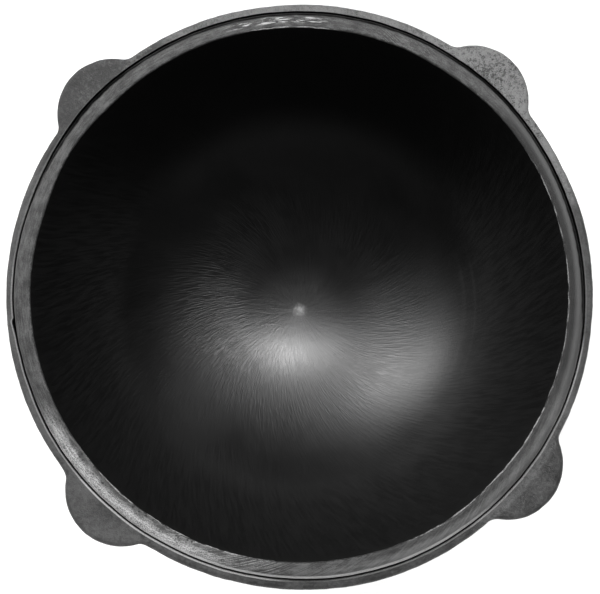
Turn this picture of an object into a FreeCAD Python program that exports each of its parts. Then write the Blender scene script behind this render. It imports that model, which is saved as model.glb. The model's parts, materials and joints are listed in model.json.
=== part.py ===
import FreeCAD, Part
import math
import os

# A cast-iron kazan, a round-bottomed cauldron cast in one piece: a turned bowl, a raised ground lip,
# and below the lip a narrow flange that runs out into four flat ears.
# Millimetres, +Z up. The origin is the middle of the ground flat that the kazan rests on.

# Bowl
openingRadius = 185.0
bowlDepth = 174.0
baseThickness = 8.0
wallThickness = 5.4
pipRadius = 2.4
pipHeight = 0.35

# Gate pad, ground flat under the bowl
padRadius = 22.0
padHeight = 1.6
padDraft = 1.5
padEdgeBreak = 0.6

# Lip: a flat ground top, a broad round along its outer edge, and a wall that leans out to its foot
lipWidth = 11.1
lipHeight = 6.5
lipDraftAngle = 5.0
lipInnerBreak = 0.4
lipOuterRound = 4.5

# Crease at the lip's foot, out of which the flange's inner edge rolls up
creaseDepth = 1.4
creaseFloorWidth = 0.6

# The lip's round and the flange's roll are each made of this many flats
roundFlats = 2

# Flange, measured out from the roll, and ears, measured out from the flange
flangeBandWidth = 5.08
flangeThickness = 8.4
gussetWidth = 8.0
earRadius = 39.0
earBlend = 10.0
earAzimuths = [48.3, 136.2, 227.8, 320.4]
earStandouts = [16.9, 17.1, 18.4, 19.6]
topEdgeRound = 3.0
bottomEdgeBreak = 1.8

# How far the flange's disc reaches past the ears before it is cut to their outline, where along a long
# arc its middle point is taken, and how closely an edge has to lie at a height to count as level
overcut = 12.0
arcShare = 0.7
levelWithin = 0.01


def at(r, z):
    return FreeCAD.Vector(r, 0, z)


def polar(radius, degrees):
    angle = math.radians(degrees)
    return FreeCAD.Vector(radius * math.cos(angle), radius * math.sin(angle), 0)


def arcThrough(start, middle, end):
    return Part.Arc(start, middle, end).toShape()


def straightRun(corners):
    return [Part.makeLine(a, b) for a, b in zip(corners, corners[1:])]


# The bowl's inside is one arc, from the middle of the floor to the opening's edge.
rimHeight = baseThickness + bowlDepth
bowlRadius = (openingRadius ** 2 + bowlDepth ** 2) / (2 * bowlDepth)
bowlCentre = baseThickness + bowlRadius


def insideRadius(z):
    return math.sqrt(bowlRadius ** 2 - (bowlCentre - z) ** 2)


def insideHeight(r):
    return bowlCentre - math.sqrt(bowlRadius ** 2 - r ** 2)


# The lip, crease and flange follow one another outwards from the opening.
shoulder = rimHeight - lipHeight
underside = shoulder - flangeThickness
creaseFloor = shoulder - creaseDepth
lipLean = math.tan(math.radians(lipDraftAngle))
lipEdge = openingRadius + lipWidth
roundFoot = rimHeight - lipOuterRound
lipFoot = lipEdge + (roundFoot - creaseFloor) * lipLean
rollEdge = lipFoot + creaseFloorWidth + creaseDepth
flangeRadius = rollEdge + flangeBandWidth
earReaches = [flangeRadius + standout for standout in earStandouts]

# The skin's outside is a second arc, which would run from the pad's plane to the flange's underside.
skinTop = insideRadius(underside) + wallThickness
skinRise = underside - padHeight
skinRadius = (skinTop ** 2 + skinRise ** 2) / (2 * skinRise)
skinCentre = padHeight + skinRadius


def outsideRadius(z):
    return math.sqrt(skinRadius ** 2 - (skinCentre - z) ** 2)


def outsideHeight(r):
    return skinCentre - math.sqrt(skinRadius ** 2 - r ** 2)


# Half section from the pip outwards and back under the bowl. The flange is a full disc for now.
def bowlEdges():
    pipTop = at(0, baseThickness + pipHeight)
    pipFoot = at(pipRadius, insideHeight(pipRadius))
    pipRise = pipTop.z - pipFoot.z
    pipCurve = (pipRadius ** 2 + pipRise ** 2) / (2 * pipRise)
    halfway = pipRadius / 2
    pipFlank = at(halfway, pipTop.z - pipCurve + math.sqrt(pipCurve ** 2 - halfway ** 2))
    flankRadius = arcShare * openingRadius
    flank = at(flankRadius, insideHeight(flankRadius))
    mouthHeight = rimHeight - lipInnerBreak
    mouth = at(insideRadius(mouthHeight), mouthHeight)
    return [arcThrough(pipTop, pipFlank, pipFoot), arcThrough(pipFoot, flank, mouth)], mouth


def lipCorners():
    turns = [math.pi / 2 * index / roundFlats for index in range(roundFlats + 1)]
    flatEdge = lipEdge - lipOuterRound
    size = lipOuterRound
    lipRound = [at(flatEdge + size * math.sin(a), roundFoot + size * math.cos(a)) for a in turns]
    roll = [at(rollEdge - creaseDepth * math.cos(a), creaseFloor + creaseDepth * math.sin(a)) for a in turns]
    return [at(openingRadius + lipInnerBreak, rimHeight), *lipRound, at(lipFoot, creaseFloor), *roll]


def discCorners():
    discRadius = max(earReaches) + overcut
    gussetFoot = underside - gussetWidth
    return [
        at(discRadius, shoulder),
        at(discRadius, underside),
        at(skinTop + gussetWidth, underside),
        at(outsideRadius(gussetFoot), gussetFoot),
    ]


def padCorners():
    padFoot = padRadius + padDraft
    return [
        at(padFoot, outsideHeight(padFoot)),
        at(padRadius, padEdgeBreak),
        at(padRadius - padEdgeBreak, 0),
        at(0, 0),
        at(0, baseThickness + pipHeight),
    ]


inside, mouth = bowlEdges()
upper = [mouth] + lipCorners() + discCorners()
lower = padCorners()
skinFlank = at(arcShare * skinTop, outsideHeight(arcShare * skinTop))
skin = arcThrough(upper[-1], skinFlank, lower[0])
halfSection = Part.Face(Part.Wire(inside + straightRun(upper) + [skin] + straightRun(lower)))
turned = halfSection.revolve(FreeCAD.Vector(0, 0, 0), FreeCAD.Vector(0, 0, 1), 360)


# Plan of the flange and ears. Each ear is a disc that meets the flange in two hollow blends, so the
# whole outline is one smooth run of arcs.
def earSpread(reach):
    centreDistance = reach - earRadius
    far = flangeRadius + earBlend
    near = earRadius + earBlend
    return math.degrees(math.acos((far ** 2 + centreDistance ** 2 - near ** 2) / (2 * far * centreDistance)))


def earSide(azimuth, reach, side):
    centre = polar(reach - earRadius, azimuth)
    blendAzimuth = azimuth + side * earSpread(reach)
    blendCentre = polar(flangeRadius + earBlend, blendAzimuth)
    onFlange = polar(flangeRadius, blendAzimuth)
    onEar = centre + (blendCentre - centre) * (earRadius / (earRadius + earBlend))
    inwards = (onFlange + onEar) * 0.5 - blendCentre
    middle = blendCentre + inwards * (earBlend / inwards.Length)
    return arcThrough(onFlange, middle, onEar), onEar


def planOutline():
    arcs = []
    for index, azimuth in enumerate(earAzimuths):
        following = (index + 1) % len(earAzimuths)
        reach = earReaches[index]
        firstBlend, firstJoin = earSide(azimuth, reach, -1)
        lastBlend, lastJoin = earSide(azimuth, reach, 1)
        start = azimuth + earSpread(reach)
        end = earAzimuths[following] - earSpread(earReaches[following])
        end += 360 if end < start else 0
        arcs += [firstBlend, arcThrough(firstJoin, polar(reach, azimuth), lastJoin), lastBlend]
        arcs += [arcThrough(*[polar(flangeRadius, a) for a in (start, 0.5 * (start + end), end)])]
    return Part.Wire(Part.__sortEdges__(arcs))


plan = Part.Face(planOutline())
plan.translate(FreeCAD.Vector(0, 0, -overcut))
casting = turned.common(plan.extrude(FreeCAD.Vector(0, 0, rimHeight + 2 * overcut)))


# One round runs along the top edge of the flange and ears, and their lower edge is broken.
def outlineEdges(shape, height):
    found = []
    for edge in shape.Edges:
        box = edge.BoundBox
        if abs(box.ZMin - height) > levelWithin or abs(box.ZMax - height) > levelWithin:
            continue
        middle = edge.valueAt(0.5 * (edge.FirstParameter + edge.LastParameter))
        if math.hypot(middle.x, middle.y) > flangeRadius - levelWithin:
            found.append(edge)
    return found


casting = casting.makeFillet(topEdgeRound, outlineEdges(casting, shoulder))
casting = casting.makeChamfer(bottomEdgeBreak, outlineEdges(casting, underside))

kazan = casting.Solids[0]
os.makedirs("parts", exist_ok=True)
kazan.exportStep("parts/kazan.step")
print("kazan", "valid" if kazan.isValid() else "not valid", len(casting.Solids), "solid")
print("volume in cubic centimetres", round(kazan.Volume / 1000))
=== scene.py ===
import bpy
import json
import math
import numpy as np
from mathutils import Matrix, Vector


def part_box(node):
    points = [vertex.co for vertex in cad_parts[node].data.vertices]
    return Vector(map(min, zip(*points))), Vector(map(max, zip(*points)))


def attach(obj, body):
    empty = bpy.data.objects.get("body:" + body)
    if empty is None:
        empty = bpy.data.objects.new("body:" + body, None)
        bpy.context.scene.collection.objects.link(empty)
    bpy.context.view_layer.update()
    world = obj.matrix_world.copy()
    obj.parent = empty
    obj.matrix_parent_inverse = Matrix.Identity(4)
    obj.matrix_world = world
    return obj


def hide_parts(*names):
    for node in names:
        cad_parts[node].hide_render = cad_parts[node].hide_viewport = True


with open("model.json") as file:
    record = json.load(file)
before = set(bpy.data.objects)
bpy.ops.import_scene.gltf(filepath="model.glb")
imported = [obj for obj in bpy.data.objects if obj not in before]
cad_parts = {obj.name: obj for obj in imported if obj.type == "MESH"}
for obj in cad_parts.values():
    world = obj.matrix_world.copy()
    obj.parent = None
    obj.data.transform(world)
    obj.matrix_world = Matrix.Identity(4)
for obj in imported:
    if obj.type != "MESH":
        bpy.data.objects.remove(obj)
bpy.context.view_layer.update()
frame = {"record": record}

# The kazan is one casting, so one closed mesh stands for it. The mesh is a grid: a column for each
# direction round the axis, and a row for each step of the section, from the bowl's middle out over
# the lip, crease, flange and ears, then back underneath to the ground pad. Sizes are in metres.

casting = {
    "openingRadius": 0.185,
    "baseThickness": 0.008,
    "wallThickness": 0.0054,
    "pipRadius": 0.0024,
    "pipHeight": 0.00035,
    "lipWidth": 0.0111,
    "lipHeight": 0.0065,
    "lipDraft": math.radians(5),
    "lipInnerBreak": 0.0004,
    "lipOuterRound": 0.0045,
    "lipFootRound": 0.0003,
    "creaseDepth": 0.0014,
    "creaseFloorWidth": 0.0006,
    "topEdgeRound": 0.003,
    "bottomEdgeBreak": 0.0018,
    "gussetWidth": 0.008,
    "padRadius": 0.022,
    "padHeight": 0.0016,
    "padDraft": 0.0015,
    "padEdgeBreak": 0.0006,
}

ears = {
    "radius": 0.039,
    "blend": 0.010,
    "azimuths": (48.3, 136.2, 227.8, 320.4),
    "standouts": (0.0169, 0.0171, 0.0184, 0.0196),
}

# How many columns the grid has, and how many rows each run of the section has
grid = {
    "columns": 930,
    "pip": 3,
    "nearPip": (1.15, 1.5, 2.3),  # rows just outside the pip, given in its radii
    "bowl": 20,
    "nearMouth": 0.01,  # radians along the bowl's arc from the mouth to the row before it
    "lipFlat": 3,
    "lipRound": 8,
    "lipFoot": 2,
    "roll": 6,
    "flange": 8,
    "edgeRound": 6,
    "underside": 4,
    "gusset": 4,
    "skin": 22,
    "padSide": 2,
    "pad": 4,
    "sharpAngle": math.radians(48),  # where two faces meet at more than this, the edge stays sharp
}

# Heights and the flange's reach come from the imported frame.
mounts = {mount["name"]: mount for mount in frame["record"]["mounts"]}
lowCorner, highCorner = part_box("kazan")
rimHeight = highCorner.z
flangeRadius = highCorner.x
underside = mounts["flange_underside"]["pos_m"][2]

shoulder = rimHeight - casting["lipHeight"]
creaseFloor = shoulder - casting["creaseDepth"]
bowlDepth = rimHeight - casting["baseThickness"]
bowlRadius = (casting["openingRadius"] ** 2 + bowlDepth ** 2) / (2 * bowlDepth)
bowlCentre = casting["baseThickness"] + bowlRadius
skinTop = math.sqrt(bowlRadius ** 2 - (bowlCentre - underside) ** 2) + casting["wallThickness"]
skinRise = underside - casting["padHeight"]
skinRadius = (skinTop ** 2 + skinRise ** 2) / (2 * skinRise)
skinCentre = casting["padHeight"] + skinRadius
lipEdge = casting["openingRadius"] + casting["lipWidth"]
flatEdge = lipEdge - casting["lipOuterRound"]
roundFoot = rimHeight - casting["lipOuterRound"]
lipFoot = lipEdge + (roundFoot - creaseFloor) * math.tan(casting["lipDraft"])
rollEdge = lipFoot + casting["creaseFloorWidth"] + casting["creaseDepth"]


# Section

def steps(start, end, count):
    # count even steps from start to end, with start itself left out
    return np.linspace(start, end, count + 1)[1:]


def run(start, end, count):
    # rows along a straight line in the (radius, height) plane
    return np.stack([steps(start[0], end[0], count), steps(start[1], end[1], count)], axis=1)


def sweep(radius, centreHeight, angle):
    # rows along an arc about a centre on the axis, with the angles measured from straight down
    return np.stack([radius * np.sin(angle), centreHeight - radius * np.cos(angle)], axis=1)


def rounded(corner, before, after, size, count):
    # rows round a corner: a quadratic curve that starts and ends at size from it, towards its neighbours
    corner, before, after = (np.array(point, float) for point in (corner, before, after))
    first = corner + (before - corner) * size / np.linalg.norm(before - corner)
    last = corner + (after - corner) * size / np.linalg.norm(after - corner)
    t = np.linspace(0, 1, count)[:, None]
    return (1 - t) ** 2 * first + 2 * t * (1 - t) * corner + t ** 2 * last


def bowlSection():
    # the pip's dome, then the bowl's one arc out to the mouth
    c = casting
    t = steps(0, 1, grid["pip"])
    footHeight = bowlCentre - math.sqrt(bowlRadius ** 2 - c["pipRadius"] ** 2)
    pipTop = c["baseThickness"] + c["pipHeight"]
    pip = np.stack([c["pipRadius"] * t, footHeight + (pipTop - footHeight) * (1 - t ** 2) ** 1.5], axis=1)
    mouthHeight = rimHeight - c["lipInnerBreak"]
    mouthAngle = math.acos((bowlCentre - mouthHeight) / bowlRadius)
    # close rows round the pip keep its shading to itself, and the one near the mouth keeps the edge crisp
    near = np.arcsin(c["pipRadius"] * np.array(grid["nearPip"]) / bowlRadius)
    far = steps(near[-1], mouthAngle - grid["nearMouth"], grid["bowl"])
    return np.concatenate([[[0, pipTop]], pip, sweep(bowlRadius, bowlCentre, [*near, *far, mouthAngle])])


def lipSection():
    # the ground top, the round of its outer edge, the wall, the crease, and the roll up to the flange
    c = casting
    inner = (c["openingRadius"] + c["lipInnerBreak"], rimHeight)
    turn = steps(0, math.pi / 2, grid["lipRound"])
    size = c["lipOuterRound"]
    lipRound = np.stack([flatEdge + size * np.sin(turn), roundFoot + size * np.cos(turn)], axis=1)
    floorEdge = (lipFoot + c["creaseFloorWidth"], creaseFloor)
    turn = steps(0, math.pi / 2, grid["roll"])
    size = c["creaseDepth"]
    roll = np.stack([rollEdge - size * np.cos(turn), creaseFloor + size * np.sin(turn)], axis=1)
    return np.concatenate([
        [inner],
        run(inner, (flatEdge, rimHeight), grid["lipFlat"]),
        lipRound,
        rounded((lipFoot, creaseFloor), lipRound[-1], floorEdge, c["lipFootRound"], grid["lipFoot"]),
        [floorEdge],
        roll,
    ])


def skinSection():
    # the gusset's slope, the outside's one arc down to the pad, and the pad's edge and flat
    c = casting
    gussetFoot = underside - c["gussetWidth"]
    skinAngle = math.acos((skinCentre - gussetFoot) / skinRadius)
    padFoot = c["padRadius"] + c["padDraft"]
    padAngle = math.asin(padFoot / skinRadius)
    gussetEdge = (skinTop + c["gussetWidth"], underside)
    onSkin = (skinRadius * math.sin(skinAngle), gussetFoot)
    padTop = (padFoot, skinCentre - skinRadius * math.cos(padAngle))
    padSide = (c["padRadius"], c["padEdgeBreak"])
    padFlat = (c["padRadius"] - c["padEdgeBreak"], 0)
    return np.concatenate([
        [gussetEdge],
        run(gussetEdge, onSkin, grid["gusset"]),
        sweep(skinRadius, skinCentre, steps(skinAngle, padAngle, grid["skin"])),
        run(padTop, padSide, grid["padSide"]),
        run(padSide, padFlat, grid["padSide"]),
        run(padFlat, (0, 0), grid["pad"]),
    ])


# Outline of the flange and ears

def outlineRadius(angle):
    # Distance from the axis to the outline: the flange's circle, and near an ear first the hollow blend
    # that leaves the circle and then the ear's own disc, each where a ray from the axis meets that arc.
    distance = np.full(angle.shape, flangeRadius)
    for azimuth, standout in zip(ears["azimuths"], ears["standouts"]):
        off = np.abs((angle - math.radians(azimuth) + math.pi) % (2 * math.pi) - math.pi)
        centre = flangeRadius + standout - ears["radius"]
        far = flangeRadius + ears["blend"]
        near = ears["radius"] + ears["blend"]
        spread = math.acos((far ** 2 + centre ** 2 - near ** 2) / (2 * far * centre))
        share = ears["radius"] / near
        joinAcross = far * math.sin(spread) * share
        joinOut = centre + (far * math.cos(spread) - centre) * share
        join = math.atan2(joinAcross, joinOut)
        aside = centre * np.sin(off)
        onDisc = centre * np.cos(off) + np.sqrt(np.maximum(ears["radius"] ** 2 - aside ** 2, 0))
        across = far * np.sin(spread - off)
        onBlend = far * np.cos(spread - off) - np.sqrt(np.maximum(ears["blend"] ** 2 - across ** 2, 0))
        distance = np.where(off < spread, onBlend, distance)
        distance = np.where(off < join, onDisc, distance)
    return distance


def outlinePoint(angle):
    # x and y of the outline in each direction
    return outlineRadius(angle)[:, None] * np.stack([np.cos(angle), np.sin(angle)], axis=1)


def outlineNormal(angle):
    # the outline's tangent, from points a little before and after, turned a quarter turn outwards
    nudge = 0.002
    tangent = outlinePoint(angle + nudge) - outlinePoint(angle - nudge)
    tangent /= np.linalg.norm(tangent, axis=1, keepdims=True)
    return np.stack([tangent[:, 1], -tangent[:, 0]], axis=1)


# Grid of points

def circleRows(section, angle):
    # each (radius, height) row turned round the axis
    radius, height = section[:, 0, None], section[:, 1, None]
    flat = np.zeros((1, angle.size))
    return np.stack([radius * np.cos(angle), radius * np.sin(angle), height + flat], axis=2)


def outlineRows(inset, height, angle):
    # the outline set in along its own normal by inset, at the given height
    edge = outlinePoint(angle)[None] - inset[:, None, None] * outlineNormal(angle)[None]
    level = np.broadcast_to(height[:, None, None], edge.shape[:2] + (1,))
    return np.concatenate([edge, level], axis=2)


def between(inner, outer, shares):
    # rows that go from one row to another by the given shares
    return inner + (outer - inner) * shares[:, None, None]


def castingPoints(angle):
    # every row in order: bowl, lip with crease and roll, flange, its round, its wall, underside and skin
    bowl = bowlSection()
    lip = lipSection()
    skin = skinSection()
    turn = steps(0, math.pi / 2, grid["edgeRound"])
    edgeRound = casting["topEdgeRound"]
    topRound = outlineRows(edgeRound * (1 - np.sin(turn)), shoulder - edgeRound * (1 - np.cos(turn)), angle)
    innerTop = circleRows(lip[-1:], angle)
    outerTop = outlineRows(np.array([edgeRound]), np.array([shoulder]), angle)
    top = between(innerTop, outerTop, steps(0, 1, grid["flange"]))
    # one row partway up the wall, then the lower edge's break with a small round at each end, in
    # shares of its size
    cut = casting["bottomEdgeBreak"]
    wallInset = np.array([0, 0, 0.12, 0.5, 0.88, 1.0]) * cut
    wallRise = np.array([0.0, 1.3, 0.85, 0.45, 0.1, 0.0]) * cut
    wallRise[0] = 0.6 * (shoulder - edgeRound - underside)
    wall = outlineRows(wallInset, underside + wallRise, angle)
    innerUnder = circleRows(skin[:1], angle)
    under = between(wall[-1:], innerUnder, steps(0, 1, grid["underside"]))
    bowlRows, lipRows, skinRows = (circleRows(section, angle) for section in (bowl, lip, skin[1:]))
    rows = [bowlRows, lipRows, top, topRound, wall, under, skinRows]
    counts = [len(part) for part in rows]
    return np.concatenate(rows), counts


# Cast and ground unevenness, in the mesh

relief = {
    "flangeDepth": 0.00042,  # cast unevenness of the ears and flange
    "flangeCell": 0.0044,
    "skinDepth": 0.0008,  # slow swell of the outside
    "skinCell": 0.036,
    "lipRagged": 0.00045,  # how ragged the bowl's ground edge is
    "lipCell": 0.0042,
    "raggedSide": math.radians(-46),  # the edge is most ragged at this side
    "raggedElsewhere": 0.45,  # and by this share of it at the others
    "notchAzimuth": math.radians(185.5),  # a nick in the flange's inner edge, sheer at one end
    "notchLength": math.radians(3.3),
    "notchDepth": 0.0014,
    "notchSheer": 12,  # how many times steeper its sheer end is than the other
    "notchWall": 0.0005,  # how far out from the lip's foot it reaches its full depth
}

# How far the bowl's edge, the crease and the outline stray from true circles, in millimetres outwards:
# a shift all round, then bends, each with its azimuth and half width in degrees and its height.
strays = {
    "mouth": (-1.1, (
        (172, 60, 1.8), (108, 32, 1.1), (164, 15, -0.9), (56, 15, -0.7), (300, 15, 0.9), (148, 15, 0.9),
    )),
    "crease": (0.1, (
        (28, 60, -1.7), (248, 45, -1.3), (180, 22, 1.3), (92, 45, -0.6), (136, 15, 0.8), (44, 15, 0.6),
    )),
    "outline": (-0.3, ((288, 32, 1.2), (188, 60, 0.7), (356, 22, -0.8), (28, 15, -0.7), (96, 15, -0.4))),
    "unevenness": 0.25,
    "cell": 0.011,
    "circle": 0.2,  # radius of the circle along which the unevenness is read
    "bowlFrom": 0.14,  # height from which the bowl follows its edge
    "lipFade": 0.006,  # width of the lip's flat that follows it
}

seeds = {"flange": 3, "skin": 17, "ragged": 29, "mouth": 37, "crease": 41, "outline": 53}


def smoothField(place, cell, seed):
    # A smooth random field from 0 to 1: random numbers on the corners of a cubic lattice, blended across
    # each cell by the curve 3t^2 - 2t^3. The three hash numbers are large primes.
    numbers = np.random.default_rng(seed).uniform(0, 1, 4096)
    corner = np.floor(place / cell).astype(np.int64)
    part = place / cell - corner
    part = part * part * (3 - 2 * part)
    total = np.zeros(place.shape[:-1])
    for step in np.ndindex(2, 2, 2):
        spot = corner + np.array(step)
        pick = (spot[..., 0] * 73856093) ^ (spot[..., 1] * 19349663) ^ (spot[..., 2] * 83492791)
        share = np.prod(np.where(np.array(step) == 1, part, 1 - part), axis=-1)
        total += share * numbers[pick & 4095]
    return total


def layeredField(place, cell, seed):
    # three smooth fields, each half as large and half as strong as the one before
    layers = [smoothField(place, cell / 2 ** k, seed + k) * 0.5 ** k for k in range(3)]
    return sum(layers) / 1.75


def surfaceNormals(place):
    # the cross product of the grid's two directions at each point
    along = np.gradient(place, axis=0)
    around = np.roll(place, -1, axis=1) - np.roll(place, 1, axis=1)
    normal = np.cross(along, around)
    return normal / np.maximum(np.linalg.norm(normal, axis=2, keepdims=True), 1e-12)


def stray(name, angle):
    # the shift, the raised cosines of the bends, and a little random unevenness, in metres
    shift, bends = strays[name]
    total = np.full(angle.shape, shift)
    for azimuth, halfWidth, height in bends:
        off = np.abs((np.degrees(angle) - azimuth + 180) % 360 - 180) / halfWidth
        total += height * np.cos(math.pi / 2 * np.minimum(off, 1)) ** 2
    circle = strays["circle"] * np.stack([np.cos(angle), np.sin(angle), 0 * angle], axis=1)
    total += strays["unevenness"] * (2 * layeredField(circle, strays["cell"], seeds[name]) - 1)
    return total / 1000


def unevenCasting(place, counts, angle):
    # The surface is sunk along its own normal by the fields above, so it never stands out of the section.
    starts = np.cumsum([0] + counts)
    bowlEnd, lipEnd, topEnd, roundEnd, wallEnd, underEnd = starts[1:7]
    normal = surfaceNormals(place)
    moved = place.copy()
    flange = np.zeros(place.shape[:2])
    flange[lipEnd:underEnd] = 1
    flange[lipEnd] = 0.5
    skin = np.zeros(place.shape[:2])
    padRows = grid["padSide"] + grid["pad"]
    skin[underEnd:-padRows] = 1
    skin[[underEnd, -padRows - 1]] = 0.4
    sink = flange * relief["flangeDepth"] * layeredField(place, relief["flangeCell"], seeds["flange"])
    sink += skin * relief["skinDepth"] * layeredField(place, relief["skinCell"], seeds["skin"])
    moved -= normal * sink[:, :, None]

    outwards = np.stack([np.cos(angle), np.sin(angle), 0 * angle], axis=1)
    # the bowl's edge strays, and the bowl near it and the lip's flat follow by less and less
    mouth = moved[:bowlEnd + 1 + grid["lipFlat"]]
    low = strays["bowlFrom"]
    rise = np.clip((mouth[:, :, 2] - low) / (rimHeight - low), 0, 1) ** 2
    fade = np.clip((flatEdge - np.hypot(mouth[:, :, 0], mouth[:, :, 1])) / strays["lipFade"], 0, 1)
    mouth += outwards * (stray("mouth", angle) * rise * fade)[:, :, None]
    # it is ragged too, most at one side
    ragged = 2 * layeredField(casting["openingRadius"] * outwards, relief["lipCell"], seeds["ragged"]) - 1
    least = relief["raggedElsewhere"]
    ragged *= least + (1 - least) * np.clip(4 * np.cos(angle - relief["raggedSide"]) - 3, 0, 1)
    for row in (bowlEnd - 2, bowlEnd - 1, bowlEnd):
        moved[row] += outwards * (relief["lipRagged"] * ragged)[:, None]
    # the crease strays by itself, which dies away over the lip and over the flange
    rim = moved[bowlEnd + 1:roundEnd]
    reach = np.hypot(place[bowlEnd + 1:roundEnd, :, 0], place[bowlEnd + 1:roundEnd, :, 1])
    outer = np.clip((flangeRadius - reach) / (flangeRadius - rollEdge), 0, 1)
    inner = np.clip((reach - casting["openingRadius"]) / casting["lipWidth"], 0, 1)
    # the nick opens at its sheer end and closes slowly
    along = (angle - relief["notchAzimuth"]) / relief["notchLength"]
    notch = relief["notchDepth"] * np.clip(np.minimum(relief["notchSheer"] * along + 1, 1 - along), 0, 1)
    notch = notch * np.clip((reach - lipFoot) / relief["notchWall"], 0, 1)
    push = outer * (stray("crease", angle) * inner + notch)
    rim += outwards * push[:, :, None]
    # the outline strays with the flange's edge, and nothing leaves the frame's box
    edge = moved[lipEnd:underEnd]
    reach = np.hypot(place[lipEnd:underEnd, :, 0], place[lipEnd:underEnd, :, 1])
    share = np.clip((reach - rollEdge) / (flangeRadius - rollEdge), 0, 1)
    edge += outwards * (share * stray("outline", angle))[:, :, None]
    return np.clip(moved, np.array(lowCorner), np.array(highCorner))


def gridFaces(rows, columns):
    # Point 0 is the bowl's middle, the rings follow, and the last point is the pad's middle. Quads join
    # one ring to the next and a fan of triangles closes each end, all turned to face outwards.
    column = np.arange(columns)
    following = (column + 1) % columns
    ring = 1 + np.arange(rows - 3)[:, None] * columns
    corners = [ring + column, ring + columns + column, ring + columns + following, ring + following]
    quads = np.stack(corners, axis=2)
    lastRing = 1 + (rows - 3) * columns
    lastPoint = lastRing + columns
    topFan = np.stack([np.zeros_like(column), 1 + column, 1 + following], axis=1)
    bottomFan = np.stack([lastRing + column, np.full_like(column, lastPoint), lastRing + following], axis=1)
    return topFan, quads.reshape(-1, 4), bottomFan


def buildCasting():
    angle = np.linspace(0, 2 * math.pi, grid["columns"], endpoint=False)
    place, counts = castingPoints(angle)
    reach = 1000 * np.hypot(place[:, :, 0], place[:, :, 1])
    place = unevenCasting(place, counts, angle)
    rows, columns = place.shape[:2]
    topFan, quads, bottomFan = gridFaces(rows, columns)
    vertices = np.concatenate([place[0, :1], place[1:-1].reshape(-1, 3), place[-1, :1]])
    mesh = bpy.data.meshes.new("kazanBody")
    mesh.from_pydata(vertices.tolist(), [], topFan.tolist() + quads.tolist() + bottomFan.tolist())
    # the millimetres from the axis before any straying, so that the finishes follow the bends
    reaches = np.concatenate([reach[0, :1], reach[1:-1].ravel(), reach[-1, :1]])
    mesh.attributes.new("reach", "FLOAT", "POINT")
    mesh.attributes["reach"].data.foreach_set("value", reaches)
    # finish by strip, each between two rows: turned bowl 0, ground lip and pad 1, cast skin 2
    bowlEnd = counts[0]
    groundEnd = bowlEnd + 1 + grid["lipFlat"] + grid["lipRound"]
    strip = np.repeat(np.arange(rows - 1), columns)
    finish = np.full(strip.shape, 2)
    finish[strip < groundEnd] = 1
    finish[strip < bowlEnd - 1] = 0
    finish[strip >= rows - 1 - grid["pad"]] = 1
    mesh.polygons.foreach_set("material_index", finish.astype(np.int32))
    mesh.shade_smooth()
    mesh.set_sharp_from_angle(angle=grid["sharpAngle"])
    body = bpy.data.objects.new("kazanBody", mesh)
    bpy.context.scene.collection.objects.link(body)
    return body


# Shader expressions

class Wire:
    # one socket of a shader, on which arithmetic adds the Math nodes that it needs
    def __init__(self, graph, socket):
        self.graph = graph
        self.socket = socket

    def __add__(self, other):
        return self.graph.maths("ADD", self, other)

    def __sub__(self, other):
        return self.graph.maths("SUBTRACT", self, other)

    def __mul__(self, other):
        return self.graph.maths("MULTIPLY", self, other)

    def __truediv__(self, other):
        return self.graph.maths("DIVIDE", self, other)

    def __rsub__(self, other):
        return self.graph.maths("SUBTRACT", other, self)

    def __rtruediv__(self, other):
        return self.graph.maths("DIVIDE", other, self)

    def __pow__(self, other):
        return self.graph.maths("POWER", self, other)

    __radd__ = __add__
    __rmul__ = __mul__


class Graph:
    # one node tree, with a method that adds any node
    def __init__(self, tree):
        self.tree = tree
        tree.nodes.clear()

    def wire(self, socket):
        return Wire(self, socket)

    def add(self, kind, settings=None, inputs=None):
        node = self.tree.nodes.new(kind)
        for name, value in (settings or {}).items():
            setattr(node, name, value)
        for name, value in (inputs or {}).items():
            self.feed(node.inputs[name], value)
        return node

    def feed(self, socket, value):
        if isinstance(value, Wire):
            value = value.socket
        if isinstance(value, bpy.types.NodeSocket):
            self.tree.links.new(value, socket)
        else:
            socket.default_value = value

    def maths(self, operation, *values):
        node = self.add("ShaderNodeMath", {"operation": operation}, dict(enumerate(values)))
        return self.wire(node.outputs[0])

    def vector(self, x, y, z):
        return self.wire(self.add("ShaderNodeCombineXYZ", {}, {"X": x, "Y": y, "Z": z}).outputs[0])

    def noise(self, where, scale, detail, roughness):
        node = self.add("ShaderNodeTexNoise", {"noise_dimensions": "3D"}, {
            "Vector": where, "Scale": scale, "Detail": detail, "Roughness": roughness,
        })
        return self.wire(node.outputs["Fac"])

    def cells(self, where, scale):
        node = self.add("ShaderNodeTexVoronoi", {"feature": "F1"}, {"Vector": where, "Scale": scale})
        return self.wire(node.outputs["Distance"])

    def between(self, value, low, high, start=0.0, end=1.0):
        # start below low and end above high, with a smooth change from one to the other
        node = self.add("ShaderNodeMapRange", {"interpolation_type": "SMOOTHSTEP"}, {
            "Value": value, "From Min": low, "From Max": high, "To Min": start, "To Max": end,
        })
        return self.wire(node.outputs["Result"])

    def blend(self, share, first, second):
        # a mix of two colours
        node = self.add("ShaderNodeMix", {"data_type": "RGBA"}, {"Factor": share})
        for socket, colour in zip((node.inputs[6], node.inputs[7]), (first, second)):
            self.feed(socket, (*colour, 1) if isinstance(colour, tuple) else colour)
        return self.wire(node.outputs[2])

    def bump(self, height, distance, strength=1.0):
        node = self.add("ShaderNodeBump", {}, {"Height": height, "Distance": distance, "Strength": strength})
        return node.outputs["Normal"]

    def apart(self, place):
        node = self.add("ShaderNodeSeparateXYZ", {}, {"Vector": place})
        return [self.wire(node.outputs[axis]) for axis in "XYZ"]


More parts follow.
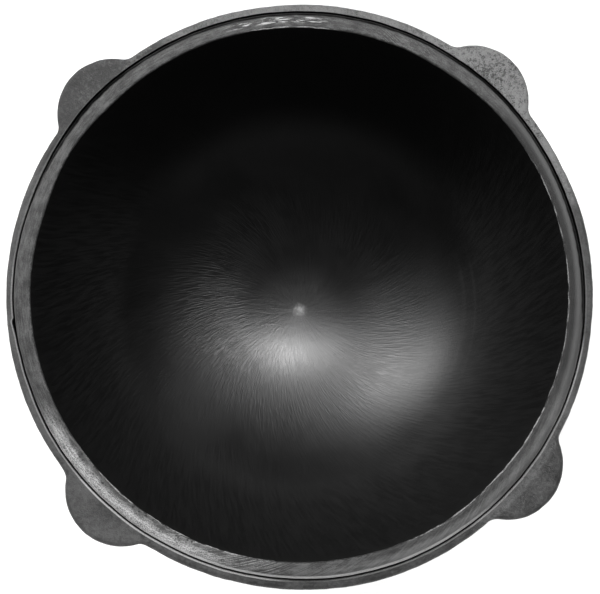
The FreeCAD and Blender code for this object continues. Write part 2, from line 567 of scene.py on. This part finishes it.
class Finish(Graph):
    # one material, whose marks are placed by millimetres from the kazan's axis and base
    def __init__(self, name):
        self.material = bpy.data.materials.new(name)
        self.material.use_nodes = True
        super().__init__(self.material.node_tree)
        place = self.add("ShaderNodeTexCoord").outputs["Object"]
        self.x, self.y, self.z = (length * 1000 for length in self.apart(place))
        self.where = self.vector(self.x, self.y, self.z)
        self.radius = self.maths("SQRT", self.x * self.x + self.y * self.y + 0.01)  # never quite zero
        self.reach = self.wire(self.add("ShaderNodeAttribute", {"attribute_name": "reach"}).outputs["Fac"])
        self.cosine = self.x / self.radius
        self.sine = self.y / self.radius

    def turned(self, angle):
        # cosine and sine of the direction round the axis, less an angle that may change over the surface
        turnCosine, turnSine = self.maths("COSINE", angle), self.maths("SINE", angle)
        cosine = self.cosine * turnCosine + self.sine * turnSine
        sine = self.sine * turnCosine - self.cosine * turnSine
        return cosine, sine

    def sector(self, azimuth, halfAngle, fade):
        # 1 within halfAngle of an azimuth and 0 past the fade, all in degrees
        middle = math.radians(azimuth)
        facing = self.cosine * math.cos(middle) + self.sine * math.sin(middle)
        outer, inner = math.radians(halfAngle + fade), math.radians(halfAngle)
        return self.between(facing, math.cos(outer), math.cos(inner))

    def strongest(self, sides):
        # the strongest of several sectors, each given with its strength
        strengths = [self.sector(*side) * strength for side, strength in sides]
        total = strengths[0]
        for other in strengths[1:]:
            total = self.maths("MAXIMUM", total, other)
        return total

    def ring(self, radius, halfWidth):
        # 1 along a circle and 0 past halfWidth from it
        return self.between(self.maths("ABSOLUTE", self.radius - radius), halfWidth, 0.25 * halfWidth)

    def close(self, colour, roughness, normal, **fixed):
        # the shader and the material's output; fixed holds any further sockets of the shader
        shader = self.add("ShaderNodeBsdfPrincipled", {}, {
            "Base Color": colour, "Roughness": roughness, "Normal": normal, **fixed,
        })
        output = self.add("ShaderNodeOutputMaterial")
        self.tree.links.new(shader.outputs[0], output.inputs["Surface"])
        return self.material


def grey(value):
    return (value, value, value)


# Turned and polished inside, black with seasoning: more polished towards the middle. Here and in the
# finishes below, a side is an azimuth, a half angle and a fade in degrees. A band is a pair of
# millimetres between which one look turns into the next, and the strength at each where it isn't 0
# and 1. A scale is how many clouds, smears, grains or the like there are to a millimetre.

turnedBowl = {
    "dark": 0.0002,
    "haze": 0.0012,
    "mouthHaze": 0.0105,
    "mouthSide": (90, 40, 40),  # painted shade: less haze near the mouth at this side
    "matt": 0.6,
    "mattBand": (126.0, 152.0),
    "mattRoughness": 0.14,
    # the pip's painted highlight, and the painted glow round the middle
    "pip": 0.15,
    "pipBand": (8.0, -0.5),
    "pipRagged": 7.0,  # millimetres by which specks shift its edge
    "pipRoughness": 0.5,
    "middleHaze": 0.14,
    "middleBand": (46.0, -10.0),
    "middleRoughness": 0.31,
    "outerRoughness": 0.42,
    "outerBand": (28.0, 75.0),
    "mouthRoughness": 0.36,
    "mouthBand": (92.0, 132.0),
    "smoothSide": (90, 50, 35),  # polished a little more at this side
    "smoothBand": (45.0, 80.0),
    "smoothGain": 0.03,
    "refraction": 1.73,
    "cloudScale": 0.012,
    "smearScale": 0.035,
    "speckScale": 0.5,
    "strokes": ((21.0, 0), (42.0, 26), (80.0, 50)),  # how many, over 2 pi, and from which radius on
    "strokeChange": 5.0,  # millimetres on either side of that radius over which they take over
    "strokeLength": 8.5,  # millimetres
    "strokeSide": (210, 32, 40),  # where they are cut deepest
    "strokeDepth": 0.00018,
    "gripMiddle": (8.0, 24.0, 0.04, 0.25),  # two radii, and how deep the strokes are at each
    "gripHalfway": (34.0, 68.0, 0.0, 0.75),
    "gripMouth": (72.0, 106.0, 1.0, 0.25),
    "grip": 0.5,
    "sideGrip": 0.55,  # more of it at strokeSide
    "swirl": 0.0042,  # radians that a stroke turns for each millimetre out
    "lines": ((124.0, 1.8), (131.5, 1.3)),  # two faint turning lines, each with its half width
    "lineSide": (-6, 12, 14),
    "lineGrey": 0.03,
    "lineStrength": 0.15,
    "broadCount": 9.0,  # broad smears along the strokes, over 2 pi
    "ringCount": 1.1,  # turning marks to a millimetre
    "roughening": {"strokes": 0.15, "broad": 0.06, "rings": 0.03, "smear": 0.05},
    "heights": {"broad": 0.4, "rings": 0.1},  # beside the strokes' own
}


def turnedBowlFinish():
    f = Finish("turnedBowl")
    c = turnedBowl
    alongCosine, alongSine = f.turned(f.radius * c["swirl"])
    lengthwise = f.radius / c["strokeLength"]
    # finer strokes take over as the circle grows, and a stroke's height follows its width
    strokes, width = 0.5, 1.0
    for count, start in c["strokes"]:
        layer = f.noise(f.vector(alongCosine * count, alongSine * count, lengthwise), 1.0, 1, 0.5)
        share = f.between(f.radius, start - c["strokeChange"], start + c["strokeChange"])
        strokes = strokes + (layer - strokes) * share
        width = width + (f.radius / count - width) * share
    crisp = f.between(strokes, 0.30, 0.70)
    count = c["broadCount"]
    broad = f.noise(f.vector(alongCosine * count, alongSine * count, lengthwise * 0.25), 1.0, 2, 0.5)
    rings = f.noise(f.vector(f.radius * c["ringCount"], f.cosine * 1.2, f.sine * 1.2), 1.0, 2, 0.5)
    cloud = f.noise(f.where, c["cloudScale"], 2, 0.5)
    smear = f.noise(f.where, c["smearScale"], 2, 0.5)
    speck = f.noise(f.where, c["speckScale"], 2, 0.6)
    lines = sum(f.ring(*line) for line in c["lines"]) * f.sector(*c["lineSide"]) * smear
    # the pip is painted pale as a painted highlight, most in its middle, and a painted glow lies round it
    pip = f.between(f.radius + (speck - 0.5) * c["pipRagged"], *c["pipBand"]) ** 2
    middle = f.between(f.radius, *c["middleBand"], 0.0, c["middleHaze"]) * (0.4 + crisp * 0.6)
    # near the mouth the polish ends, and the seasoning there is matt and mirrors less
    matt = f.between(f.radius, *c["mattBand"])
    # the mouth's matt haze is painted less at one side, as painted shade
    mouthTone = f.blend(f.sector(*c["mouthSide"]), grey(c["mouthHaze"]), grey(c["haze"]))
    cloudy = f.between(cloud + (smear - 0.5) * 0.5, 0.42, 0.68)
    colour = f.blend(cloudy, grey(c["dark"]), grey(c["haze"]))
    colour = f.blend(matt * (0.45 + crisp * 0.55), colour, mouthTone)
    colour = f.blend(lines * c["lineStrength"], colour, grey(c["lineGrey"]))
    colour = f.blend(pip + middle, colour, grey(c["pip"]))
    # smoothest in the middle and again a little towards the mouth, where the matt seasoning roughens it
    polish = f.between(f.radius, *c["outerBand"], c["middleRoughness"], c["outerRoughness"])
    polish = polish - f.between(f.radius, *c["mouthBand"], 0.0, c["outerRoughness"] - c["mouthRoughness"])
    polish = polish - f.sector(*c["smoothSide"]) * f.between(f.radius, *c["smoothBand"], 0.0, c["smoothGain"])
    polish = polish + matt * c["mattRoughness"] + pip * c["pipRoughness"]
    # the strokes are shallow in the middle, deepest halfway out and shallow again near the mouth
    grip = f.between(f.radius, *c["gripMiddle"]) + f.between(f.radius, *c["gripHalfway"])
    grip = grip * f.between(f.radius, *c["gripMouth"])
    grip = grip * (c["grip"] + f.sector(*c["strokeSide"]) * c["sideGrip"])
    strength = (crisp - 0.5) * grip
    rough, high = c["roughening"], c["heights"]
    roughness = polish + strength * rough["strokes"] + (broad - 0.5) * rough["broad"]
    roughness = roughness + (rings - 0.5) * rough["rings"] + (smear - 0.5) * rough["smear"]
    height = strength * width + broad * high["broad"] + rings * high["rings"]
    normal = f.bump(height, c["strokeDepth"], 0.7)
    return f.close(colour, roughness, normal, **{"IOR": c["refraction"], "Metallic": matt * c["matt"]})


# Lip and pad, ground flat: bare iron with a grinder's marks, brightest at one side. Where marks lie at
# several sides, each side comes with its strength. A tone is like a band, but between two shares of
# the lip's width or two values of a noise.

groundLip = {
    "dark": 0.018,
    "middle": 0.085,
    "bright": 0.52,
    "worn": 0.42,
    "dull": 0.010,
    "pale": 0.14,
    "sooty": 0.012,
    "black": 0.002,
    "cast": 0.03,
    "roughness": 0.62,
    "metal": 0.4,
    "innerEdge": 185.4,  # millimetres from the axis
    "width": 9.5,
    "groundReach": 196.6,  # how far out the grinding goes before the painted shade, and how much less at the back
    "shortReach": 2.7,
    "shortSide": (75, 70, 24),
    "longReach": 0.3,  # and how much more at the front
    "longSide": (278, 50, 14),
    "pastBand": (-1.0, 0.5),
    "hatchCount": 135,  # slanting scratches, over 2 pi
    "slant": -0.0135,  # radians that a slanting scratch turns for each millimetre out
    "slantCentre": 190.0,
    "marks": {"all": 0.07, "flecks": 0.36, "grain": 0.26, "blotch": 0.26, "hatch": 0.14},
    "frontMarks": {"all": 0.03, "hatch": 0.40},  # added at the front
    "marksTone": (0.39, 0.66),
    "grainScale": 1.1,
    "blotchScale": 0.12,
    "pitScale": 0.30,
    "grainDepth": 0.0005,
    "wallBand": (178.6, 175.6),  # heights
    "padToLip": (60.0, 120.0),
    "brightPatch": (230, 14, 14),
    "patchStrength": 0.92,
    "patchTone": (0.15, 0.66, 0.10, 1.35),
    # painted highlight: sparkle in the bright patch
    "sparkle": 0.10,
    "grainSparkle": (0.42, 0.60, 0.0, 0.30),
    "fleckSparkle": (0.4, 0.65, 0.0, 0.24),
    "fleckSide": (95, 6, 6),
    "fleckTone": (0.50, 0.60, 0.0, 0.6),
    "dullSide": (10, 24, 12),
    "dullStrength": 0.75,
    "farSide": (-20, 45, 30),
    "outerTone": (0.30, 0.65, 0.0, 0.35),
    "innerTone": (0.60, 0.15, 0.0, 0.45),
    "rearSide": (68, 16, 10),
    "frontSide": (272, 30, 26),
    "scratches": (((253, 7, 8), 1.0), ((68, 3, 5), 0.3)),
    "scratchTone": (0.50, 0.62, 0.0, 0.28),
    # partly wear, partly painted highlight on the front of the lip's outer round
    "rubbed": (((274, 24, 22), 1.0), ((17, 15, 5), 0.6)),
    "rubbedBand": (193.9, 194.7),
    "rubbedTone": (0.65, 1.05, 0.21, 0.6),
    # painted highlights along the inner edge
    "glints": (((2, 20, 12), 0.3), ((92, 6, 5), 0.6), ((240, 18, 10), 0.5), ((316, 18, 8), 0.4)),
    "glintWidth": (0.07, 0.01),
    "glintFlecks": (0.44, 0.56),
    "glintGrain": (0.30, 0.55, 0.4, 1.0),
    "creepBand": (0.6, -0.1),
    "creepWander": 2.6,  # millimetres
}


def groundLipFinish():
    f = Finish("groundLip")
    c = groundLip
    # the pad has the same ground iron, but none of the marks that lie at one side of the lip
    onLip = f.between(f.reach, *c["padToLip"])
    across = (f.reach - c["innerEdge"]) / c["width"]
    patch = f.sector(*c["brightPatch"]) * onLip * c["patchStrength"]
    fleckSide = f.sector(*c["fleckSide"]) * onLip
    farSide = f.sector(*c["farSide"]) * onLip
    rearSide = f.sector(*c["rearSide"]) * onLip
    frontSide = f.sector(*c["frontSide"]) * onLip
    arcs = f.noise(f.vector(f.cosine * 19, f.sine * 19, f.reach * 1.15), 1.0, 3, 0.6)
    straight = f.noise(f.vector(f.x * 0.12, f.y * 1.3, 0.0), 1.0, 3, 0.6)
    flecks = straight + (arcs - straight) * onLip
    # the scratches slant one way, and the other way at the rear
    slantCosine, slantSine = f.turned((f.reach - c["slantCentre"]) * (1 - rearSide * 2) * c["slant"])
    count = c["hatchCount"]
    hatch = f.noise(f.vector(slantCosine * count, slantSine * count, f.reach * 0.09), 1.0, 2, 0.6)
    grain = f.noise(f.where, c["grainScale"], 3, 0.65)
    blotch = f.noise(f.where, c["blotchScale"], 2, 0.5)
    pits = f.cells(f.where, c["pitScale"])
    edgeWander = f.noise(f.vector(f.cosine * 60, f.sine * 60, 0.0), 1.0, 3, 0.7)
    share, front = c["marks"], c["frontMarks"]
    marks = share["all"] + flecks * share["flecks"] + grain * share["grain"] + blotch * share["blotch"]
    marks = marks + (hatch - 0.5) * (share["hatch"] + frontSide * front["hatch"]) + frontSide * front["all"]
    colour = f.blend(f.between(marks, *c["marksTone"]), grey(c["dark"]), grey(c["middle"]))
    colour = f.blend(f.sector(*c["dullSide"]) * onLip * c["dullStrength"], colour, grey(c["dull"]))
    colour = f.blend(farSide * f.between(across, *c["outerTone"]), colour, grey(c["pale"]))
    colour = f.blend(farSide * f.between(across, *c["innerTone"]), colour, grey(c["dull"]))
    midway = f.between(across, 0.25, 0.4) * f.between(across, 0.85, 0.7)
    colour = f.blend(fleckSide * f.between(flecks, *c["fleckTone"]) * midway, colour, grey(c["bright"]))
    # slanting scratches shine beside the bright patch and at the rear
    scratch = f.between(hatch, *c["scratchTone"]) * f.between(grain, 0.3, 0.6) * f.strongest(c["scratches"])
    colour = f.blend(scratch * onLip, colour, grey(c["bright"]))
    # the bright patch fades towards the bowl, and where the grain is coarse it is painted brighter as painted
    # sparkle highlights
    sparkle = c["sparkle"] + f.between(grain, *c["grainSparkle"]) + f.between(flecks, *c["fleckSparkle"])
    outwards = f.between(across + (blotch - 0.5) * 0.3, *c["patchTone"])
    colour = f.blend(patch * sparkle * outwards, colour, grey(c["bright"]))
    pitted = (1 - f.between(pits, 0.12, 0.34)) * f.between(across, 0.62, 0.3) * (patch * 0.8 + 0.12)
    colour = f.blend(pitted, colour, grey(c["sooty"]))
    # the round's outer part is painted bright at the front: partly rubbed wear, partly painted highlight
    rubbed = f.between(f.reach, *c["rubbedBand"]) * f.strongest(c["rubbed"])
    colour = f.blend(rubbed * f.between(flecks + grain, *c["rubbedTone"]), colour, grey(c["worn"]))
    # past the grinding the skin is painted black as painted shade, further in at the back, and mirrors
    # nothing; the change is soft and uneven
    limit = c["groundReach"] - f.sector(*c["shortSide"]) * c["shortReach"]
    limit = limit + f.sector(*c["longSide"]) * c["longReach"]
    pastShade = f.between(f.reach - limit + (blotch - 0.5) * 1.8 + (flecks - 0.5) * 0.9, *c["pastBand"])
    # the wall below the round is plain cast iron again
    wall = pastShade * f.between(f.z, *c["wallBand"])
    colour = f.blend(wall, f.blend(pastShade, colour, grey(c["black"])), grey(c["cast"]))
    # soot creeps over the inner edge by an uneven width, and in places the edge is painted with glints, a
    # painted highlight
    sooty = f.reach - c["innerEdge"] - (edgeWander - 0.45) * c["creepWander"]
    creep = 1 - onLip * f.between(sooty, *c["creepBand"])
    paintedGlint = onLip * f.between(across, *c["glintWidth"]) * f.between(flecks, *c["glintFlecks"])
    paintedGlint = paintedGlint * f.between(grain, *c["glintGrain"]) * f.strongest(c["glints"])
    colour = f.blend(paintedGlint, f.blend(creep, grey(c["sooty"]), colour), grey(c["bright"]))
    roughness = c["roughness"] + (marks - 0.5) * 0.35 + patch * 0.06
    normal = f.bump(marks + f.between(pits, 0.05, 0.3) * 0.2, c["grainDepth"], 0.6)
    metal = c["metal"] + (pastShade - wall) * (1 - c["metal"])
    return f.close(colour, roughness, normal, **{"Metallic": metal})


# As cast: dark grey, grainy and unevenly matt; the roll partly rubbed and partly painted bright as highlight,
# the crease painted dark as shade

castSkin = {
    "dark": 0.009,
    "darkest": 0.0036,
    "light": 0.046,
    "bare": 0.115,
    "worn": 0.26,
    "black": 0.002,
    "roughness": 0.56,
    "refraction": 1.52,
    "mottleScale": 0.42,
    "grainScale": 1.1,
    "patchScale": 0.05,
    "grainDepth": 0.0009,
    "topBand": (169.0, 172.0),  # this band and the next three are heights
    "rollHeight": (170.0, 174.0),
    "sootHeight": (170.0, 172.0),
    "edgeHeights": ((171.0, 172.4), (174.3, 173.4)),
    "contrast": 0.8,
    "coarseEar": (48.3, 13, 5),
    "darkEar": (136.2, 14, 6),
    "bareSides": (((49, 29, 3), 1.0), ((90, 30, 20), 0.75)),
    "bareFlange": (323, 12, 6),  # painted lighter as painted light, by its roll only
    "bareBand": (206.0, 203.0, 0.0, 0.35),
    "darkFlange": (268, 20, 10),
    "darkerEar": (320.4, 14, 6),
    "darkerBand": (204.0, 207.0),
    "darkerStrength": 0.4,
    # painted highlight on the roll, partly wear
    "leastShine": 0.15,
    "shine": (((243, 18, 8), 0.85), ((328, 18, 6), 0.6), ((295, 12, 8), 0.15), ((200, 22, 8), 0.3)),
    "sootReach": 197.35,  # millimetres from the axis, where the painted shade in the crease ends on the roll
    "sootBack": (80, 62, 16),
    "sootFront": (278, 50, 14),
    "sootBand": (194.0, 195.0),
    "rollBand": (198.9, 198.4),
    # painted shade at the flange's outer edge
    "edgeBand": (199.0, 200.5),
    "edgeStrength": 0.55,
}


def castSkinFinish():
    f = Finish("castSkin")
    c = castSkin
    onTop = f.between(f.z, *c["topBand"])
    coarseEar = f.sector(*c["coarseEar"]) * onTop
    darkEar = f.sector(*c["darkEar"]) * onTop
    # painted light: the top is painted lighter at some sides, as where the lamps fall on it
    bareFlange = f.sector(*c["bareFlange"]) * f.between(f.reach, *c["bareBand"])
    bare = f.maths("MAXIMUM", f.strongest(c["bareSides"]), bareFlange) * onTop
    mottle = f.noise(f.where, c["mottleScale"], 4, 0.62)
    grain = f.noise(f.where, c["grainScale"], 3, 0.65)
    patches = f.noise(f.where, c["patchScale"], 2, 0.5)
    contrast = (1 + coarseEar) * c["contrast"]
    tone = 0.5 + (mottle - 0.5) * contrast + (grain - 0.5) * (0.5 + coarseEar) + (patches - 0.5) * 0.7
    colour = f.blend(f.between(tone, 0.20, 0.80), grey(c["dark"]), grey(c["light"]))
    colour = f.blend(bare * f.between(tone, 0.10, 0.72), colour, grey(c["bare"]))
    # painted shade: some ears and part of the flange are painted darker, as where light falls less
    darkerEar = f.sector(*c["darkerEar"]) * f.between(f.reach, *c["darkerBand"])
    paintedShade = f.maths("MAXIMUM", f.sector(*c["darkFlange"]), darkerEar) * onTop * c["darkerStrength"]
    paintedShade = f.maths("MAXIMUM", darkEar, paintedShade) * f.between(tone, 0.85, 0.40)
    colour = f.blend(paintedShade, colour, grey(c["darkest"]))
    # the roll is painted bright in places: partly rubbed wear, partly painted highlight
    front = f.sector(*c["sootFront"])
    limit = c["sootReach"] + f.sector(*c["sootBack"]) * 0.65 - front * 0.2
    shine = c["leastShine"] + sum(f.sector(*side) * strength for side, strength in c["shine"])
    rollHighlight = f.between(f.reach - limit, 0.1, 0.5) * f.between(f.reach, *c["rollBand"])
    rollHighlight = rollHighlight * f.between(f.z, *c["rollHeight"]) * (1 - bare) * f.between(grain, 0.3, 0.55, 0.5, 1.0)
    colour = f.blend(rollHighlight * shine, colour, grey(c["worn"]))
    # the crease is painted black as painted shade that mirrors nothing, and the outer edge is painted dark as
    # painted shade
    creaseShade = f.between(f.reach - limit, 0.25, -0.25) * f.between(f.reach, *c["sootBand"])
    creaseShade = creaseShade * f.between(f.z, *c["sootHeight"]) * (1 - front * 0.2)
    lower, upper = (f.between(f.z, *band) for band in c["edgeHeights"])
    edge = lower * upper * f.between(f.reach, *c["edgeBand"])
    black = f.maths("MAXIMUM", creaseShade, edge * c["edgeStrength"])
    colour = f.blend(black, colour, grey(c["black"]))
    roughness = c["roughness"] + (mottle - 0.5) * 0.3 + (patches - 0.5) * 0.2
    normal = f.bump((mottle - 0.5) * contrast + (grain - 0.5) * 0.4, c["grainDepth"], 0.7)
    return f.close(colour, roughness, normal, **{"IOR": c["refraction"], "Metallic": black})


body = buildCasting()
for finish in (turnedBowlFinish(), groundLipFinish(), castSkinFinish()):
    body.data.materials.append(finish)
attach(body, "root")
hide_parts("kazan")
print("casting: triangles", sum(len(face.vertices) - 2 for face in body.data.polygons))


# Stage, lights and camera

studio = {
    "floorSize": 5.2,
    "floorGrey": 0.86,
    "floorMottle": 0.01,  # how far its grey strays either way
    "horizonGrey": 0.6,
    "zenithGrey": 0.006,
    "cameraPlace": (-0.009, -0.106, 1.482),
    "cameraPitch": math.radians(4.514),
    "cameraYaw": math.radians(0.37),
    "lens": 113.93,
    "sensor": 36.0,
}

# Each softbox hangs level unless it is tilted: its middle, its width and length, and how bright it shines.
# A crossed one stands for light through crossed polarisers, which fills shadows and shows in no gloss.
softboxes = {
    "stripLeft": {"middle": (-0.22, 0.81, 1.80), "size": (1.05, 0.5), "shine": 9.4},
    "stripCore": {"middle": (0.19, 0.75, 1.79), "size": (0.28, 0.24), "shine": 25.0},
    "stripRight": {"middle": (0.93, 0.86, 1.80), "size": (1.25, 0.5), "shine": 8.8},
    "leftBack": {"middle": (-2.2, 1.50, 1.80), "size": (2.3, 1.1), "shine": 15.5},
    "rightBack": {"middle": (2.6, 2.7, 1.80), "size": (0.9, 1.2), "shine": 6.3},
    "lowFront": {"middle": (0.0, -2.2, 0.36), "size": (4.0, 0.7), "shine": 1.0, "tilt": math.radians(85)},
    "fillFront": {"middle": (0.0, -0.8, 1.80), "size": (2.4, 1.0), "shine": 7.0, "crossed": True},
}


def buildFloor():
    # one level square of matt paper, hardly mottled
    half = studio["floorSize"] / 2
    corners = [(-half, -half, 0), (half, -half, 0), (half, half, 0), (-half, half, 0)]
    mesh = bpy.data.meshes.new("floor")
    mesh.from_pydata(corners, [], [(0, 1, 2, 3)])
    floor = bpy.data.objects.new("floor", mesh)
    bpy.context.scene.collection.objects.link(floor)
    f = Finish("floorPaper")
    tone = f.noise(f.where, 0.004, 2, 0.5)
    middle, change = studio["floorGrey"], studio["floorMottle"]
    colour = f.blend(tone, grey(middle - change), grey(middle + change))
    mesh.materials.append(f.close(colour, 0.9, f.bump(tone, 0.0001)))


def buildSoftboxes():
    # a lamp's power is its shine times pi times its area
    for name, box in softboxes.items():
        light = bpy.data.lights.new(name, "AREA")
        light.shape = "RECTANGLE"
        light.size, light.size_y = box["size"]
        light.energy = box["shine"] * math.pi * light.size * light.size_y
        lamp = bpy.data.objects.new(name, light)
        lamp.location = box["middle"]
        lamp.rotation_euler.x = box.get("tilt", 0)
        lamp.visible_camera = False
        lamp.visible_glossy = not box.get("crossed", False)
        bpy.context.scene.collection.objects.link(lamp)


def buildWorld():
    # pale near the horizon, and dark overhead so that the bowl mirrors only the softboxes
    world = bpy.data.worlds.new("studioAir")
    world.use_nodes = True
    g = Graph(world.node_tree)
    upwards = g.apart(g.add("ShaderNodeTexCoord").outputs["Generated"])[2]
    fade = g.between(upwards, 0.0, 0.25, studio["horizonGrey"], studio["zenithGrey"])
    air = g.add("ShaderNodeBackground", {}, {"Color": fade})
    g.add("ShaderNodeOutputWorld", {}, {"Surface": air.outputs[0]})
    bpy.context.scene.world = world
    bpy.context.scene.view_settings.view_transform = "Standard"


def buildCamera():
    # looks down, tilted towards the back by its pitch and to the right by its yaw
    camera = bpy.data.objects.new("camera", bpy.data.cameras.new("camera"))
    camera.data.sensor_width = studio["sensor"]
    camera.data.lens = studio["lens"]
    camera.location = studio["cameraPlace"]
    pitch, yaw = studio["cameraPitch"], studio["cameraYaw"]
    forward = Vector((math.sin(yaw) * math.cos(pitch), math.sin(pitch), -math.cos(pitch) * math.cos(yaw)))
    right = forward.cross(Vector((0, 1, 0))).normalized()
    camera.rotation_euler = Matrix((right, right.cross(forward), -forward)).transposed().to_euler()
    bpy.context.scene.collection.objects.link(camera)
    bpy.context.scene.camera = camera


buildFloor()
buildSoftboxes()
buildWorld()
buildCamera()
print("stage, softboxes and camera are up")
